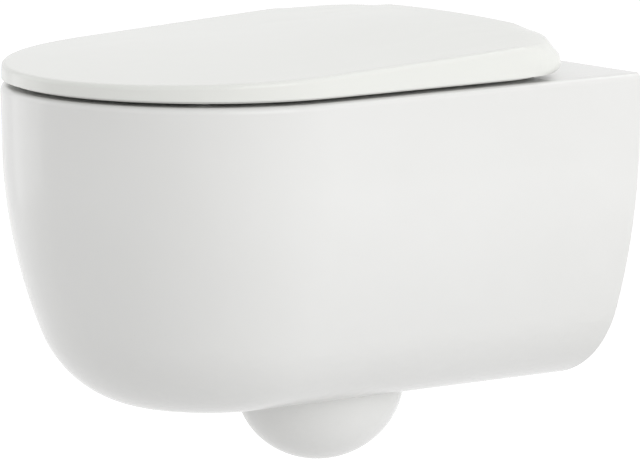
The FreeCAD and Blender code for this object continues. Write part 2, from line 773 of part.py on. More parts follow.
def make_seat_ring():
    body = new_body("seat_plate")
    start = "deck_height+seat_gap"
    rear = "(lid_rear+lid_wall+seat_rear_play)"
    outline = plan_outline(body, "seat_outline", start, "lid_inset+lid_wall+seat_inset", rear,
                           "lid_corner-lid_wall-seat_inset")
    pad(body, "seat_slab", outline, "seat_thickness")
    hole = ellipse_section(body, "seat_opening_section", start, "seat_half_width", "seat_half_length",
                           "bowl_centre")
    opening = pocket(body, "seat_opening", hole, "2*seat_thickness", Midplane=True)
    top = number("deck_height+seat_gap+seat_thickness")
    round_edges(body, "seat_edge", opening, lambda edge: flat_at(edge, top), "seat_edge_radius")
    doc.recompute()
    arm_depth = (f"-{rear}-arm_overlap", "-hinge_setback")
    arm_height = (f"{start}+seat_thickness/2", f"{HINGE_LEVEL}-arm_clearance")
    knuckles, bores = [], []
    for side, word in SIDES:
        stretch = side_range(side, SEAT_REACH)
        held = "damper_radius" if side > 0 else "bushing_radius"
        knuckles += [hinge_knuckle(f"seat_knuckle_{word}", *stretch, "knuckle_radius"),
                     block(f"seat_arm_{word}", stretch, arm_depth, arm_height)]
        bores.append(hinge_bore(f"seat_bore_{word}", stretch, held))
    whole = fuse("seat_whole", body, *knuckles)
    return cut("seat_ring", whole, *bores)


# ---- hinge and fixings --------------------------------------------------------------------

def upright(name, across, setback, base, radius, height):
    """Upright cylinder standing on a base height."""
    bar = doc.addObject("Part::Cylinder", name)
    bind(bar, Radius=radius, Height=height, Placement__Base__x=across,
         Placement__Base__y=f"-({setback})", Placement__Base__z=base)
    return bar


POST_SEAT = "deck_height+gasket_height+rosette_height"


def make_post(name, across):
    """Hinge post: a barrel on a neck, bored for the pin and tapped below for the stud."""
    body = new_body(name)
    sketch = new_sketch(body, name + "_side", "YZ_Plane", f"{across}-post_width/2")
    seat = number(POST_SEAT)
    axis_y, axis_z = -number("hinge_setback"), number(HINGE_LEVEL)
    neck, barrel = number("post_neck/2"), number("post_barrel")
    shoulder = axis_z - math.sqrt(barrel ** 2 - neck ** 2)
    lean = math.degrees(math.acos(neck / barrel))
    foot = line(sketch, (axis_y - neck, seat), (axis_y + neck, seat))
    rear = line(sketch, (axis_y + neck, seat), (axis_y + neck, shoulder))
    head = arc(sketch, (axis_y, axis_z), barrel, -lean, 180 + lean)
    front = line(sketch, (axis_y - neck, shoulder), (axis_y - neck, seat))
    for first, second in ((foot, rear), (front, foot)):
        relate(sketch, "Coincident", first, 2, second, 1)
    relate(sketch, "Coincident", rear, 2, head, 1)
    relate(sketch, "Coincident", head, 2, front, 1)
    relate(sketch, "Horizontal", foot)
    relate(sketch, "Vertical", rear)
    relate(sketch, "Vertical", front)
    measure(sketch, "Radius", head, formula="post_barrel")
    measure(sketch, "DistanceX", foot, 1, foot, 2, formula="post_neck")
    measure(sketch, "DistanceX", foot, 2, *origin_point(), formula="hinge_setback-post_neck/2")
    measure(sketch, "DistanceY", *origin_point(), foot, 1, formula=POST_SEAT)
    measure(sketch, "DistanceX", head, 3, *origin_point(), formula="hinge_setback")
    measure(sketch, "DistanceY", *origin_point(), head, 3, formula=HINGE_LEVEL)
    pad(body, name + "_pad", sketch, "post_width")
    eye = new_sketch(body, name + "_eye", "YZ_Plane", f"{across}-post_width/2-{PAST}")
    add_circle(eye, "-hinge_setback", HINGE_LEVEL, "hinge_pin_radius")
    pocket(body, name + "_bore", eye, f"post_width+2*{PAST}", Reversed=True)
    primitive(body, "SubtractiveCylinder", name + "_tapping",
              (across, "-hinge_setback", f"{POST_SEAT}-{PAST}"),
              Radius="stud_radius", Height=f"stud_grip+{PAST}")
    return body


def sleeve(name, across, base, height, outside):
    """Upright tube round the stud, standing on a base height."""
    bore = upright(name + "_bore", across, "hinge_setback", f"{base}-{PAST}", "stud_radius",
                   f"{height}+2*{PAST}")
    return cut(name, outside, bore)


def make_rosette(name, across):
    """Disc with a rounded upper edge that the post stands on."""
    body = new_body(name)
    section = new_sketch(body, name + "_section", "XY_Plane", "deck_height+gasket_height")
    add_circle(section, across, "-hinge_setback", "rosette_radius")
    add_circle(section, across, "-hinge_setback", "stud_radius")
    slab = pad(body, name + "_slab", section, "rosette_height")
    top, wide = number(POST_SEAT), number("2*rosette_radius") - PAST
    round_edges(body, name + "_edge", slab,
                lambda edge: flat_at(edge, top) and edge.BoundBox.XLength > wide, "rosette_height/2")
    return body


def make_hinge_side(side, word):
    """Post, rosette and fixings of one hinge, with its pin and what turns on the pin."""
    across = f"{side}*hinge_spacing/2"
    set_at = (across, "hinge_setback")
    plug_foot = "deck_height-plug_length"
    nut_foot = f"{plug_foot}-nut_height"
    names = {kind: f"{word}_{kind}" for kind in
             ("hinge_post", "rosette", "gasket", "stud", "expansion_plug", "cone_nut", "hinge_pin")}
    disc = upright(f"{word}_gasket_disc", *set_at, "deck_height", "rosette_radius-gasket_inset",
                   "gasket_height")
    plug = upright(f"{word}_plug_body", *set_at, plug_foot, "plug_radius", "plug_length")
    cone = doc.addObject("Part::Cone", f"{word}_nut_cone")
    bind(cone, Radius1="nut_radius-nut_taper", Radius2="nut_radius", Height="nut_height",
         Placement__Base__x=across, Placement__Base__y="-hinge_setback", Placement__Base__z=nut_foot)
    lid_stretch, seat_stretch = side_range(side, LID_REACH), side_range(side, SEAT_REACH)
    ends = (lid_stretch[0], seat_stretch[1]) if side > 0 else (seat_stretch[0], lid_stretch[1])
    pieces = {
        names["hinge_post"]: make_post(names["hinge_post"], across),
        names["rosette"]: make_rosette(names["rosette"], across),
        names["gasket"]: sleeve(names["gasket"], across, "deck_height", "gasket_height", disc),
        names["stud"]: upright(names["stud"], *set_at, f"{POST_SEAT}-stud_reach", "stud_radius",
                               "stud_reach+stud_grip"),
        names["expansion_plug"]: sleeve(names["expansion_plug"], across, plug_foot, "plug_length", plug),
        names["cone_nut"]: sleeve(names["cone_nut"], across, nut_foot, "nut_height", cone),
        names["hinge_pin"]: hinge_knuckle(names["hinge_pin"], f"{ends[0]}-hinge_pin_overlap",
                                          f"{ends[1]}+hinge_pin_overlap", "hinge_pin_radius"),
    }
    for owner, stretch in (("lid", lid_stretch), ("seat", seat_stretch)):
        kind = "damper" if (owner == "seat") == (side > 0) else "bushing"
        tube = hinge_knuckle(f"{owner}_{kind}_tube", *stretch, f"{kind}_radius")
        bore = hinge_bore(f"{owner}_{kind}_bore", stretch, "hinge_pin_radius+running_fit")
        pieces[f"{owner}_{kind}"] = cut(f"{owner}_{kind}", tube, bore)
    return pieces


def make_wall_fixing(side, word):
    """Block that slides on a rod of the wall frame, and the screw that clamps it there."""
    across = f"{side}*fixing_spacing/2"
    screw_foot = "-clamp_screw_start-clamp_screw_length"
    body = new_body(f"{word}_fixing_block")
    ring = new_sketch(body, f"{word}_block_section", "XZ_Plane")
    add_circle(ring, across, "0", "fixing_block_radius")
    add_circle(ring, across, "0", "fixing_hole")
    pad(body, f"{word}_block_pad", ring, "fixing_block_length")
    primitive(body, "SubtractiveCylinder", f"{word}_block_thread",
              (across, "-clamp_screw_setback", f"-fixing_block_radius-{PAST}"),
              Radius="clamp_screw_radius", Height="fixing_block_radius")
    shank = upright(f"{word}_screw_shank", across, "clamp_screw_setback", screw_foot,
                    "clamp_screw_radius", "clamp_screw_length")
    head = doc.addObject("Part::Prism", f"{word}_screw_head")
    head.Polygon = 6
    bind(head, Circumradius="clamp_head_radius", Height="clamp_head_height",
         Placement__Base__x=across, Placement__Base__y="-clamp_screw_setback",
         Placement__Base__z=f"{screw_foot}-clamp_head_height")
    return {f"{word}_fixing_block": body, f"{word}_clamp_screw": fuse(f"{word}_clamp_screw", shank, head)}


def make_bumpers(hollow):
    """Rubber feet under the seat ring and buffers between the ring and the lid."""
    feet, buffers = [], []
    ring_top = "deck_height+seat_gap+seat_thickness"
    for row in ("front", "rear"):
        for side, word in SIDES:
            spot = (f"{side}*{row}_bumper_spread", f"{row}_bumper_setback")
            feet.append(upright(f"{row}_{word}_foot", *spot, "deck_height+bumper_rest_gap",
                                "bumper_radius", "seat_gap-bumper_rest_gap"))
            buffers.append(upright(f"{row}_{word}_buffer", *spot, f"{ring_top}+bumper_rest_gap",
                                   "bumper_radius", "lid_top_rear"))
    trimmed = doc.addObject("Part::Common", "lid_bumpers")
    trimmed.Base, trimmed.Tool = fuse("buffer_posts", *buffers), hollow
    group = doc.addObject("Part::Compound", "seat_bumpers")
    group.Links = feet
    return {"seat_bumpers": group, "lid_bumpers": trimmed}


# ---- the part -----------------------------------------------------------------------------

nodes = {"pan": make_pan()}
nodes["lid"], lid_space = make_lid()
nodes["seat_ring"] = make_seat_ring()
for side, word in SIDES:
    nodes.update(make_hinge_side(side, word))
    nodes.update(make_wall_fixing(side, word))
nodes.update(make_bumpers(lid_space))
doc.recompute()

for thing in doc.Objects:
    if "Invalid" in thing.State or "Error" in thing.State:
        raise RuntimeError(f"{thing.Name} failed: {thing.State}")

for name, thing in nodes.items():
    shape = thing.Shape
    if shape.isNull() or not shape.isValid() or not shape.Solids:
        raise RuntimeError(f"{name} has no valid solid")
    thing.Label = name
    shape.exportStep(f"parts/{name}.step")
    print(name, len(shape.Solids), round(shape.Volume / 1000, 2))
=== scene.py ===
import bmesh
import bpy
import json
import math
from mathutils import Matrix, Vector


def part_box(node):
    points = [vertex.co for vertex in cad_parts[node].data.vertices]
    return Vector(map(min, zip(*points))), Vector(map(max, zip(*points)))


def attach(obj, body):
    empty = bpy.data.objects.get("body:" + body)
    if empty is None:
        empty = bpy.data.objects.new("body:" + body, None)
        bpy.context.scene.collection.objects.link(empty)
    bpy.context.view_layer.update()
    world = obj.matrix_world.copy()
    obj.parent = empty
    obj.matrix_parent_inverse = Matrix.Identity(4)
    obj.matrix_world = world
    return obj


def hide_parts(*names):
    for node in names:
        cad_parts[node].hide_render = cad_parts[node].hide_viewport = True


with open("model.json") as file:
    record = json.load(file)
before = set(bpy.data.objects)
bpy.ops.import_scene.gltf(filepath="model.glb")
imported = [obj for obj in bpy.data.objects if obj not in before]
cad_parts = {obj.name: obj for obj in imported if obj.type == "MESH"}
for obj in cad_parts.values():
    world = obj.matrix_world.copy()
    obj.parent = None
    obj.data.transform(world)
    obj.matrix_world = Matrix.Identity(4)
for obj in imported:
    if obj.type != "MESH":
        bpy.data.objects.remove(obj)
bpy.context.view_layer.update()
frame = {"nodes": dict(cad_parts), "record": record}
scene = bpy.context.scene
scene.view_settings.view_transform = "Standard"
print("frame loaded:", len(frame["nodes"]), "nodes")


# the camera stands where a long lens saw the pan from the front right, a little above the seat
cameraSettings = {
    "azimuth": 51.93,         # degrees round the pan, 0 looks at the nose from the front
    "elevation": 7.72,
    "distance": 14.0,         # metres
    "pixelsPerMetre": 1116.3,
    "imageWidth": 640,
    "sensorWidth": 36.0,
    "target": (0.0206, -0.2366, -0.0653),
    "clipEnd": 200.0,
}


def makeCamera(settings):
    data = bpy.data.cameras.new("catalogueCamera")
    camera = bpy.data.objects.new("catalogueCamera", data)
    scene.collection.objects.link(camera)
    turn, lift = math.radians(settings["azimuth"]), math.radians(settings["elevation"])
    level = math.cos(lift)
    back = Vector((math.sin(turn) * level, -math.cos(turn) * level, math.sin(lift)))
    camera.location = Vector(settings["target"]) + back * settings["distance"]
    camera.rotation_euler = (-back).to_track_quat("-Z", "Y").to_euler()
    data.sensor_width = settings["sensorWidth"]
    data.lens = (settings["pixelsPerMetre"] * settings["distance"] * settings["sensorWidth"]
                 / settings["imageWidth"])
    data.clip_end = settings["clipEnd"]
    scene.camera = camera


makeCamera(cameraSettings)
print("camera ready")


# surface effects that several finishes share, each a shader node group
def newGroup(name, inputs, outputs):
    group = bpy.data.node_groups.new(name, "ShaderNodeTree")
    for label, value in inputs.items():
        kind = "NodeSocketVector" if value is None else "NodeSocketFloat"
        if isinstance(value, tuple):
            kind = "NodeSocketColor"
        socket = group.interface.new_socket(name=label, in_out="INPUT", socket_type=kind)
        if value is not None:
            socket.default_value = value
    for label, kind in outputs.items():
        group.interface.new_socket(name=label, in_out="OUTPUT", socket_type=kind)
    return group, group.nodes.new("NodeGroupInput"), group.nodes.new("NodeGroupOutput")


def addNoise(tree, vector, scale, detail=2.0, roughness=0.5):
    noise = tree.nodes.new("ShaderNodeTexNoise")
    noise.inputs["Detail"].default_value = detail
    noise.inputs["Roughness"].default_value = roughness
    tree.links.new(vector, noise.inputs["Vector"])
    if isinstance(scale, (int, float)):
        noise.inputs["Scale"].default_value = scale
    else:
        tree.links.new(scale, noise.inputs["Scale"])
    return noise.outputs["Fac"]


def addMath(tree, operation, first, second):
    node = tree.nodes.new("ShaderNodeMath")
    node.operation = operation
    tree.links.new(first, node.inputs[0])
    tree.links.new(second, node.inputs[1])
    return node.outputs[0]


def addRange(tree, value, low, high, toLow=0.0, toHigh=1.0):
    node = tree.nodes.new("ShaderNodeMapRange")
    ends = {"From Min": low, "From Max": high, "To Min": toLow, "To Max": toHigh}
    for label, setting in ends.items():
        node.inputs[label].default_value = setting
    tree.links.new(value, node.inputs["Value"])
    return node.outputs[0]


def mixColours(tree, factor, first, second):
    node = tree.nodes.new("ShaderNodeMix")
    node.data_type = "RGBA"
    tree.links.new(factor, node.inputs["Factor"])
    for label, colour in (("A", first), ("B", second)):
        socket = next(s for s in node.inputs if s.name == label and s.type == "RGBA")
        if isinstance(colour, tuple):
            socket.default_value = colour
        else:
            tree.links.new(colour, socket)
    return next(s for s in node.outputs if s.type == "RGBA")


def makeRippleGroup():
    # slow unevenness of a fired glaze or a moulded face, with a finer skin on top
    group, source, result = newGroup(
        "surfaceRipple", {"Vector": None, "Wave Scale": 40.0, "Skin Scale": 600.0, "Skin Share": 0.2},
        {"Height": "NodeSocketFloat"})
    place = source.outputs["Vector"]
    wave = addNoise(group, place, source.outputs["Wave Scale"], detail=1.0)
    skin = addNoise(group, place, source.outputs["Skin Scale"], detail=3.0, roughness=0.6)
    share = addMath(group, "MULTIPLY", skin, source.outputs["Skin Share"])
    group.links.new(addMath(group, "ADD", wave, share), result.inputs["Height"])
    return group


def makeToneGroup():
    # two close tones in soft clouds, with a few small specks
    group, source, result = newGroup(
        "toneClouds", {"Vector": None, "Light": (0.8, 0.8, 0.8, 1), "Deep": (0.7, 0.7, 0.7, 1),
                       "Speck": (0.5, 0.5, 0.5, 1), "Cloud Scale": 6.0, "Speck Scale": 160.0},
        {"Color": "NodeSocketColor", "Clouds": "NodeSocketFloat"})
    place = source.outputs["Vector"]
    clouds = addNoise(group, place, source.outputs["Cloud Scale"], detail=3.0)
    clouds = addRange(group, clouds, low=0.35, high=0.65)
    cells = group.nodes.new("ShaderNodeTexVoronoi")
    group.links.new(place, cells.inputs["Vector"])
    group.links.new(source.outputs["Speck Scale"], cells.inputs["Scale"])
    specks = addRange(group, cells.outputs["Distance"], low=0.045, high=0.03)
    ground = mixColours(group, clouds, source.outputs["Light"], source.outputs["Deep"])
    group.links.new(mixColours(group, specks, ground, source.outputs["Speck"]), result.inputs["Color"])
    group.links.new(clouds, result.inputs["Clouds"])
    return group


def makeLineGroup():
    # fine lines along one axis, for drawn or turned metal
    group, source, result = newGroup("drawnLines", {"Vector": None, "Line Scale": 900.0},
                                     {"Lines": "NodeSocketFloat"})
    stretch = group.nodes.new("ShaderNodeMapping")
    stretch.inputs["Scale"].default_value = (1.0, 1.0, 0.02)   # drawn out along Z
    group.links.new(source.outputs["Vector"], stretch.inputs["Vector"])
    lines = addNoise(group, stretch.outputs["Vector"], source.outputs["Line Scale"])
    group.links.new(lines, result.inputs["Lines"])
    return group


rippleGroup, toneGroup, lineGroup = makeRippleGroup(), makeToneGroup(), makeLineGroup()
print("surface effects ready")


def placeGroup(tree, group, vector, **values):
    node = tree.nodes.new("ShaderNodeGroup")
    node.node_tree = group
    tree.links.new(vector, node.inputs["Vector"])
    for label, value in values.items():
        node.inputs[label.replace("_", " ")].default_value = value
    return node


def makeFinish(name, settings):
    # clouded colour, uneven gloss and a fine ripple on one Principled BSDF
    material = bpy.data.materials.new(name)
    material.use_nodes = True
    tree = material.node_tree
    shader = tree.nodes["Principled BSDF"]
    place = tree.nodes.new("ShaderNodeTexCoord").outputs["Object"]
    light, deep, speck = [settings[label] + (1.0,) for label in ("light", "deep", "speck")]
    tone = placeGroup(tree, toneGroup, place, Light=light, Deep=deep, Speck=speck,
                      Cloud_Scale=settings["cloudScale"], Speck_Scale=settings["speckScale"])
    tree.links.new(tone.outputs["Color"], shader.inputs["Base Color"])
    gloss = addRange(tree, tone.outputs["Clouds"], 0.0, 1.0, *settings["roughness"])
    tree.links.new(gloss, shader.inputs["Roughness"])
    ripple = placeGroup(tree, rippleGroup, place, Wave_Scale=settings["waveScale"],
                        Skin_Scale=settings["skinScale"], Skin_Share=settings["skinShare"])
    height = ripple.outputs["Height"]
    if settings.get("lineScale"):
        lines = placeGroup(tree, lineGroup, place, Line_Scale=settings["lineScale"])
        height = addMath(tree, "ADD", height, lines.outputs["Lines"])
    bump = tree.nodes.new("ShaderNodeBump")
    bump.inputs["Strength"].default_value = settings["bumpStrength"]
    bump.inputs["Distance"].default_value = settings["bumpDistance"]
    tree.links.new(height, bump.inputs["Height"])
    tree.links.new(bump.outputs["Normal"], shader.inputs["Normal"])
    for label, value in settings["plain"].items():
        shader.inputs[label].default_value = value
    return material


finishes = {
    "glaze": {
        "light": (0.800, 0.800, 0.787), "deep": (0.780, 0.779, 0.764), "speck": (0.745, 0.738, 0.722),
        "cloudScale": 5.0, "speckScale": 90.0, "roughness": (0.20, 0.27),
        "waveScale": 28.0, "skinScale": 420.0, "skinShare": 0.10,
        "bumpStrength": 0.18, "bumpDistance": 0.0012,
        "plain": {"IOR": 1.5, "Coat Weight": 0.3, "Coat Roughness": 0.1, "Coat IOR": 1.45},
    },
    "lidPlastic": {
        "light": (0.803, 0.810, 0.777), "deep": (0.797, 0.804, 0.770), "speck": (0.792, 0.798, 0.765),
        "cloudScale": 6.0, "speckScale": 240.0, "roughness": (0.23, 0.27),
        "waveScale": 9.0, "skinScale": 900.0, "skinShare": 0.12,
        "bumpStrength": 0.05, "bumpDistance": 0.0008,
        "plain": {"IOR": 1.48, "Coat Weight": 0.35, "Coat Roughness": 0.09},
    },
    "seatPlastic": {
        "light": (0.800, 0.806, 0.775), "deep": (0.792, 0.798, 0.767), "speck": (0.783, 0.788, 0.758),
        "cloudScale": 7.0, "speckScale": 220.0, "roughness": (0.24, 0.30),
        "waveScale": 11.0, "skinScale": 900.0, "skinShare": 0.10,
        "bumpStrength": 0.05, "bumpDistance": 0.0008,
        "plain": {"IOR": 1.48, "Coat Weight": 0.2, "Coat Roughness": 0.15},
    },
    "chrome": {
        "light": (0.780, 0.782, 0.790), "deep": (0.700, 0.702, 0.712), "speck": (0.550, 0.550, 0.560),
        "cloudScale": 60.0, "speckScale": 700.0, "roughness": (0.06, 0.13),
        "waveScale": 120.0, "skinScale": 2500.0, "skinShare": 0.30,
        "bumpStrength": 0.08, "bumpDistance": 0.0003,
        "plain": {"Metallic": 1.0},
    },
    "steel": {
        "light": (0.560, 0.560, 0.565), "deep": (0.470, 0.470, 0.476), "speck": (0.350, 0.350, 0.350),
        "cloudScale": 50.0, "speckScale": 500.0, "roughness": (0.28, 0.42),
        "waveScale": 90.0, "skinScale": 2500.0, "skinShare": 0.40, "lineScale": 1400.0,
        "bumpStrength": 0.2, "bumpDistance": 0.0003,
        "plain": {"Metallic": 1.0},
    },
    "rubber": {
        "light": (0.550, 0.552, 0.548), "deep": (0.470, 0.472, 0.468), "speck": (0.620, 0.620, 0.615),
        "cloudScale": 70.0, "speckScale": 500.0, "roughness": (0.62, 0.82),
        "waveScale": 150.0, "skinScale": 1800.0, "skinShare": 0.80,
        "bumpStrength": 0.3, "bumpDistance": 0.0003,
        "plain": {"IOR": 1.45},
    },
    "nylon": {
        "light": (0.750, 0.740, 0.720), "deep": (0.690, 0.680, 0.658), "speck": (0.610, 0.600, 0.580),
        "cloudScale": 60.0, "speckScale": 600.0, "roughness": (0.42, 0.55),
        "waveScale": 120.0, "skinScale": 2000.0, "skinShare": 0.50,
        "bumpStrength": 0.2, "bumpDistance": 0.0003,
        "plain": {"IOR": 1.53},
    },
    "damperPlastic": {
        "light": (0.116, 0.120, 0.126), "deep": (0.086, 0.090, 0.094), "speck": (0.160, 0.160, 0.165),
        "cloudScale": 60.0, "speckScale": 600.0, "roughness": (0.38, 0.50),
        "waveScale": 120.0, "skinScale": 2000.0, "skinShare": 0.60,
        "bumpStrength": 0.25, "bumpDistance": 0.0003,
        "plain": {"IOR": 1.5},
    },
}
materials = {name: makeFinish(name, settings) for name, settings in finishes.items()}
finishOfSlot = {
    "glaze": "glaze", "lid_plastic": "lidPlastic", "seat_plastic": "seatPlastic", "hinge_metal": "chrome",
    "fixing_steel": "steel", "soft_rubber": "rubber", "nylon": "nylon", "damper_plastic": "damperPlastic",
}
print("finishes ready:", len(materials))


bodyOfNode = {node: body for body, members in frame["record"]["behaviour"]["bodies"].items()
              for node in members}
slotOfNode = {part["node"]: part["material_slot"] for part in frame["record"]["subparts"]}


def finishOf(node):
    return materials[finishOfSlot[slotOfNode[node]]]


def camelName(node, ending):
    first, *others = node.split("_")
    return first + "".join(word.capitalize() for word in others) + ending


def newPiece(name, mesh):
    piece = bpy.data.objects.new(name, mesh)
    scene.collection.objects.link(piece)
    return piece


def shadeByAngle(mesh, creaseAngle):
    # smooth faces, with a sharp line wherever two of them meet at more than the crease angle
    work = bmesh.new()
    work.from_mesh(mesh)
    crease = math.radians(creaseAngle)
    for edge in work.edges:
        edge.smooth = len(edge.link_faces) == 2 and edge.calc_face_angle(math.pi) < crease
    for face in work.faces:
        face.smooth = True
    work.to_mesh(mesh)
    work.free()


def applyModifiers(piece):
    settled = bpy.data.meshes.new_from_object(piece.evaluated_get(bpy.context.evaluated_depsgraph_get()))
    piece.modifiers.clear()
    piece.data = settled


def attachPiece(piece, node):
    if not piece.data.materials:
        piece.data.materials.append(finishOf(node))
    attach(piece, bodyOfNode[node])
    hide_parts(node)


# pan, lid, seat ring and the trimmed lid buffers: copies of their solids, joined and evenly shaded
skinSettings = {
    "nodes": ("pan", "lid", "seat_ring", "lid_bumpers"),
    "mergeDistance": 0.00002,
    "shortestEdge": 1e-6,
    "creaseAngle": 32.0,
}


# the seat's knuckles are slim and short enough to hide behind the lid's rear corners
hingeSettings = {
    "axis": (-0.052, 0.0995),   # setback and height
    "knuckleStart": 0.0865,     # from the middle of the seat to the inner end of each knuckle
    "knuckleEnd": 0.097,
    "pinOverlap": 0.002,        # how far the pins stand out of the knuckles
    "armFoot": -0.066,          # the arms taper outwards from here to the ring
    "barrel": 0.0106,           # only what lies this near to the axis is slimmed
    "slimFrom": 0.006,          # what lies further out than this comes nearer to the axis
    "slimShare": 0.467,         # share of its way past slimFrom that it keeps
}


def slimRadius(radius, settings):
    return min(radius, settings["slimFrom"] + (radius - settings["slimFrom"]) * settings["slimShare"])


def trimKnuckles(work, settings):
    axisY, axisZ = settings["axis"]
    for vertex in work.verts:
        if abs(vertex.co.x) < settings["knuckleStart"]:
            continue
        back, rise = vertex.co.y - axisY, vertex.co.z - axisZ
        radius = math.hypot(back, rise)
        if settings["slimFrom"] < radius < settings["barrel"]:
            slim = slimRadius(radius, settings) / radius
            vertex.co.y, vertex.co.z = axisY + back * slim, axisZ + rise * slim
        if vertex.co.y > settings["armFoot"] and abs(vertex.co.x) > settings["knuckleEnd"]:
            vertex.co.x = math.copysign(settings["knuckleEnd"], vertex.co.x)


# the lid's rear corners flare out towards the deck, and its rear edge rolls down between them
lidEndSettings = {
    "cornerCentre": (0.112, -0.139),   # in plan, right side, mirrored to the left
    "cornerRadius": 0.072,
    "footRadius": 0.047,               # tighter corner that the wall reaches near its foot
    "flareHeights": (0.090, 0.114),    # the flare fades out upwards between these heights
    "flareRadii": (0.030, 0.060),      # and grows between these distances from the corner's centre
    "lipHeights": (0.0805, 0.0900),    # below the upper one the wall draws in again
    "lipShare": 0.50,                  # share of the flare that is left at the lower one
    "rollDrop": 0.0042,
    "rollWidth": 0.024,
    "rollTurn": 35.0,                  # degrees round the corner at which the roll is full
    "rollHeights": (0.094, 0.112),     # only what stands above these heights rolls down
    "rearSpan": (0.086, 0.118),        # distances from the middle between which the roll grows
    "rearEnd": -0.0665,                # the rearmost edge behind this line stays
    "planStep": 0.006,                 # spacing of the extra cuts
    "heightStep": 0.003,
    "heightCuts": 12,
    "cutTolerance": 1e-6,
}


def shareBetween(value, start, end):
    return min(max((value - start) / (end - start), 0.0), 1.0)


def easeStep(value, start, end):
    share = shareBetween(value, start, end)
    return share * share * (3 - 2 * share)


def roundStep(value, start, end):
    share = shareBetween(value, start, end)
    return math.sqrt(share * (2 - share))


def cutLidEnd(work, settings):
    # extra edges round the rear corners, so that the wall and the top can bend
    (centreX, centreY), radius = settings["cornerCentre"], settings["cornerRadius"]
    across, upwards = settings["planStep"], settings["heightStep"]
    lowest, innermost = settings["lipHeights"][0], settings["rearSpan"][0]
    cuts = [((0, 0, lowest + (step + 1) * upwards), (0, 0, 1)) for step in range(settings["heightCuts"])]
    cuts += [((0, centreY + step * across, 0), (0, 1, 0)) for step in range(round(radius / across))]
    cuts += [((side * (innermost + step * across), 0, 0), (1, 0, 0)) for side in (-1, 1)
             for step in range(round((centreX + radius - innermost) / across))]
    for place, normal in cuts:
        faces = [face for face in work.faces if any(vertex.co.y > centreY for vertex in face.verts)
                 and any(abs(vertex.co.x) > innermost for vertex in face.verts)]
        edges = {edge for face in faces for edge in face.edges}
        corners = {vertex for face in faces for vertex in face.verts}
        bmesh.ops.bisect_plane(work, geom=[*corners, *edges, *faces], dist=settings["cutTolerance"],
                               plane_co=place, plane_no=normal)
    bmesh.ops.triangulate(work, faces=[face for face in work.faces if len(face.verts) > 3])


def footOutline(across, back, full, foot):
    # how far the tighter corner lies from the wide corner's centre, in one direction
    gap = full - foot
    if gap * max(across, back) > full * min(across, back):
        return full / max(across, back)
    return gap * (across + back) + math.sqrt(max(0.0, foot ** 2 - gap ** 2 * (1 - 2 * across * back)))


def bendLidEnd(work, settings):
    centreX, centreY = settings["cornerCentre"]
    full, foot, rearEnd = settings["cornerRadius"], settings["footRadius"], settings["rearEnd"]
    for vertex in work.verts:
        across, back, height = abs(vertex.co.x) - centreX, vertex.co.y - centreY, vertex.co.z
        if across + centreX < settings["rearSpan"][0] or not 0 < back < rearEnd - centreY:
            continue
        onCorner = across > 0
        angle = math.atan2(back, across) if onCorner else math.pi / 2
        way = math.hypot(across, back) if onCorner else back
        edge = max(0.0, 1 - max(full - way, 0.0) / settings["rollWidth"]) ** 2
        drop = settings["rollDrop"] * edge * easeStep(height, *settings["rollHeights"])
        drop *= easeStep(math.degrees(angle), 0.0, settings["rollTurn"])
        vertex.co.z -= drop * easeStep(across + centreX, *settings["rearSpan"])
        if onCorner:
            flare, lip = 1 - easeStep(height, *settings["flareHeights"]), settings["lipShare"]
            flare *= lip + (1 - lip) * roundStep(height, *settings["lipHeights"])
            grown = footOutline(math.cos(angle), math.sin(angle), full, foot) / full - 1
            grown = 1 + grown * flare * easeStep(way, *settings["flareRadii"])
            vertex.co.x = math.copysign(centreX + across * grown, vertex.co.x)
            vertex.co.y = centreY + back * grown


def makeSkin(node, settings):
    mesh = bpy.data.meshes.new(camelName(node, "Skin"))
    joined = bmesh.new()
    joined.from_mesh(frame["nodes"][node].data)
    bmesh.ops.remove_doubles(joined, verts=joined.verts, dist=settings["mergeDistance"])
    if node == "lid":
        cutLidEnd(joined, lidEndSettings)
        bendLidEnd(joined, lidEndSettings)
    if node == "seat_ring":
        trimKnuckles(joined, hingeSettings)
        bmesh.ops.remove_doubles(joined, verts=joined.verts, dist=settings["mergeDistance"])
        bmesh.ops.dissolve_degenerate(joined, edges=joined.edges, dist=settings["shortestEdge"])
    joined.to_mesh(mesh)
    joined.free()
    mesh.materials.clear()
    shadeByAngle(mesh, settings["creaseAngle"])
    piece = newPiece(camelName(node, "Skin"), mesh)
    even = piece.modifiers.new("evenShading", "WEIGHTED_NORMAL")
    even.mode = "FACE_AREA_WITH_ANGLE"
    even.keep_sharp = True
    applyModifiers(piece)
    return piece


for node in skinSettings["nodes"]:
    attachPiece(makeSkin(node, skinSettings), node)
print("pan, lid and seat ready")


# turned pieces: a closed profile of (radius, way along) pairs swept about the piece's own axis
turnedSettings = {"segments": 64, "creaseAngle": 40.0, "mergeDistance": 1e-7}
axisOrder = {"X": (2, 0, 1), "Y": (1, 2, 0), "Z": (0, 1, 2)}   # 0 and 1 lie across the axis, 2 along it


def spanOf(node, axis, reach=math.inf):
    # middle, outer radius, start and end of a round node along its axis, no further out than a reach
    low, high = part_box(node)
    along = "XYZ".index(axis)
    across = (along + 1) % 3
    radius = (high[across] - low[across]) / 2
    low[along], high[along] = max(low[along], -reach), min(high[along], reach)
    return (low + high) / 2, radius, low[along], high[along]


